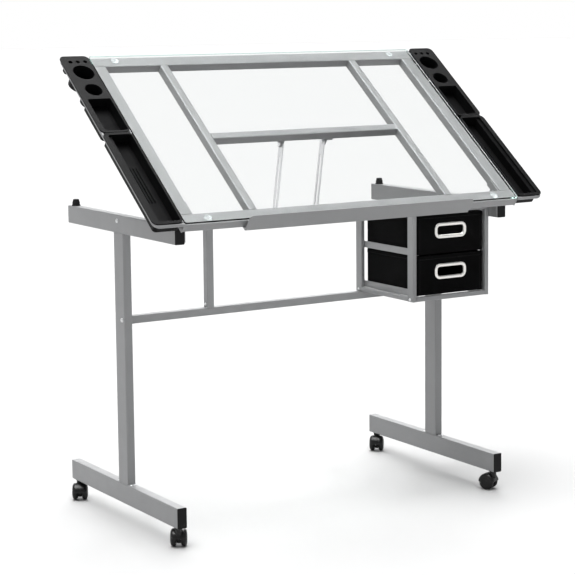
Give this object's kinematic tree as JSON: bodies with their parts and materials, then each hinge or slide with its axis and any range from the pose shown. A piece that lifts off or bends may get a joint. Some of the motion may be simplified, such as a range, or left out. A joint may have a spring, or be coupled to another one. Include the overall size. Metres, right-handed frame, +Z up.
{
  "type": "drafting table",
  "caption": "Tilting glass-topped drafting table on casters with side trays, sliding pencil ledge and fabric drawers under the top.",
  "frame": {"origin": "on the floor under the middle of the table's bounding box", "axes": "+X to the seated user's right, +Y away from the user towards the raised rear edge, +Z up"},
  "size_m": [1.134, 0.663, 1.155],
  "materials": {
    "frame_paint": "satin silver-grey powder coat",
    "zinc_steel": "zinc plated",
    "black_plastic": "matte moulded",
    "tray_plastic": "fine grained moulded",
    "rubber": "matte",
    "glass": "clear tempered, polished edge",
    "clear_bumper": "clear soft vinyl",
    "drawer_fabric": "black non-woven",
    "grip_metal": "satin nickel",
    "caster_plastic": "semi-gloss nylon",
    "caster_wheel": "hard nylon tread"
  },
  "bodies": {
    "stand": {"foot_left": "frame_paint", "foot_right": "frame_paint", "upright_left": "frame_paint", "upright_right": "frame_paint", "side_rail_left": "frame_paint", "side_rail_right": "frame_paint", "lower_crossbar": "frame_paint", "upper_crossbar": "frame_paint", "centre_post": "frame_paint", "foot_end_caps": "black_plastic", "rail_end_caps": "black_plastic", "rest_bumpers": "rubber", "frame_bolts": "zinc_steel", "drawer_post_front_left": "frame_paint", "drawer_post_front_right": "frame_paint", "drawer_post_rear_left": "frame_paint", "drawer_post_rear_right": "frame_paint", "drawer_stand_rails": "frame_paint", "drawer_runners": "frame_paint", "hinge_brackets": "frame_paint", "hinge_pins": "zinc_steel", "stay_brackets": "frame_paint", "stay_studs": "zinc_steel", "caster_sockets": "black_plastic"},
    "tabletop": {"top_front_bar": "frame_paint", "top_rear_bar": "frame_paint", "top_left_bar": "frame_paint", "top_right_bar": "frame_paint", "top_cross_bar_left": "frame_paint", "top_cross_bar_right": "frame_paint", "top_stay_bar": "frame_paint", "glass_top": "glass", "glass_bumpers": "clear_bumper", "hinge_ears": "frame_paint", "stay_lugs": "frame_paint", "stay_pins": "zinc_steel", "tray_rod_left": "frame_paint", "tray_rod_right": "frame_paint", "ledge_screws": "zinc_steel"},
    "stay_left": {"stay_left": "zinc_steel"},
    "stay_right": {"stay_right": "zinc_steel"},
    "stay_knob_left": {"stay_knob_left": "black_plastic"},
    "stay_knob_right": {"stay_knob_right": "black_plastic"},
    "front_tray_left": {"front_tray_left": "tray_plastic"},
    "rear_tray_left": {"rear_tray_left": "tray_plastic"},
    "front_tray_right": {"front_tray_right": "tray_plastic"},
    "rear_tray_right": {"rear_tray_right": "tray_plastic"},
    "pencil_ledge": {"pencil_ledge": "frame_paint"},
    "upper_drawer": {"upper_drawer": "drawer_fabric", "upper_drawer_grip": "grip_metal"},
    "lower_drawer": {"lower_drawer": "drawer_fabric", "lower_drawer_grip": "grip_metal"},
    "caster_front_left": {"caster_hood_front_left": "caster_plastic"},
    "wheels_front_left": {"caster_wheels_front_left": "caster_wheel"},
    "caster_front_right": {"caster_hood_front_right": "caster_plastic"},
    "wheels_front_right": {"caster_wheels_front_right": "caster_wheel"},
    "caster_rear_left": {"caster_hood_rear_left": "caster_plastic"},
    "wheels_rear_left": {"caster_wheels_rear_left": "caster_wheel"},
    "caster_rear_right": {"caster_hood_rear_right": "caster_plastic"},
    "wheels_rear_right": {"caster_wheels_rear_right": "caster_wheel"}
  },
  "joints": [
    {"name": "top_tilt", "type": "hinge", "parent": "stand", "child": "tabletop", "pos_m": [0, -0.25068, 0.7862], "axis": [1, 0, 0], "range_deg": [-37.4, 0]},
    {"name": "stay_fold_left", "type": "hinge", "parent": "tabletop", "child": "stay_left", "pos_m": [-0.0615, -0.04116, 0.92877], "axis": [1, 0, 0], "range_deg": [0, 18.72]},
    {"name": "stay_clamp_left", "type": "hinge", "parent": "stand", "child": "stay_knob_left", "pos_m": [-0.052, -0.00248, 0.735], "axis": [1, 0, 0], "range_deg": [0, 360]},
    {"name": "stay_fold_right", "type": "hinge", "parent": "tabletop", "child": "stay_right", "pos_m": [0.0615, -0.04116, 0.92877], "axis": [1, 0, 0], "range_deg": [0, 18.72]},
    {"name": "stay_clamp_right", "type": "hinge", "parent": "stand", "child": "stay_knob_right", "pos_m": [0.052, -0.00248, 0.735], "axis": [1, 0, 0], "range_deg": [0, 360]},
    {"name": "front_tray_lift_left", "type": "slide", "parent": "tabletop", "child": "front_tray_left", "axis": [0, -0.6074, 0.7944], "range_m": [0, 0.06]},
    {"name": "front_tray_lift_right", "type": "slide", "parent": "tabletop", "child": "front_tray_right", "axis": [0, -0.6074, 0.7944], "range_m": [0, 0.06]},
    {"name": "rear_tray_lift_left", "type": "slide", "parent": "tabletop", "child": "rear_tray_left", "axis": [0, -0.6074, 0.7944], "range_m": [0, 0.06]},
    {"name": "rear_tray_lift_right", "type": "slide", "parent": "tabletop", "child": "rear_tray_right", "axis": [0, -0.6074, 0.7944], "range_m": [0, 0.06]},
    {"name": "ledge_slide", "type": "slide", "parent": "tabletop", "child": "pencil_ledge", "axis": [0, -0.6074, 0.7944], "range_m": [-0.018, 0]},
    {"name": "upper_drawer_slide", "type": "slide", "parent": "stand", "child": "upper_drawer", "axis": [0, -1, 0], "range_m": [0, 0.19]},
    {"name": "lower_drawer_slide", "type": "slide", "parent": "stand", "child": "lower_drawer", "axis": [0, -1, 0], "range_m": [0, 0.19]},
    {"name": "caster_swivel_front_left", "type": "hinge", "parent": "stand", "child": "caster_front_left", "pos_m": [-0.4725, -0.22448, 0.02], "axis": [0, 0, 1], "continuous": true},
    {"name": "wheel_spin_front_left", "type": "hinge", "parent": "caster_front_left", "child": "wheels_front_left", "pos_m": [-0.466, -0.21322, 0.02], "axis": [-0.866, 0.5, 0], "continuous": true},
    {"name": "caster_swivel_front_right", "type": "hinge", "parent": "stand", "child": "caster_front_right", "pos_m": [0.4725, -0.22448, 0.02], "axis": [0, 0, 1], "continuous": true},
    {"name": "wheel_spin_front_right", "type": "hinge", "parent": "caster_front_right", "child": "wheels_front_right", "pos_m": [0.46701, -0.2127, 0.02], "axis": [-0.9063, -0.4226, 0], "continuous": true},
    {"name": "caster_swivel_rear_left", "type": "hinge", "parent": "stand", "child": "caster_rear_left", "pos_m": [-0.4725, 0.31152, 0.02], "axis": [0, 0, 1], "continuous": true},
    {"name": "wheel_spin_rear_left", "type": "hinge", "parent": "caster_rear_left", "child": "wheels_rear_left", "pos_m": [-0.4786, 0.30004, 0.02], "axis": [0.8829, -0.4695, 0], "continuous": true},
    {"name": "caster_swivel_rear_right", "type": "hinge", "parent": "stand", "child": "caster_rear_right", "pos_m": [0.4725, 0.31152, 0.02], "axis": [0, 0, 1], "continuous": true},
    {"name": "wheel_spin_rear_right", "type": "hinge", "parent": "caster_rear_right", "child": "wheels_rear_right", "pos_m": [0.4645, 0.30127, 0.02], "axis": [0.788, -0.6157, 0], "continuous": true}
  ],
  "couplings": [
    {"joint": "stay_fold_left", "follows": "top_tilt", "ratio": -0.5},
    {"joint": "stay_fold_right", "follows": "top_tilt", "ratio": -0.5}
  ]
}
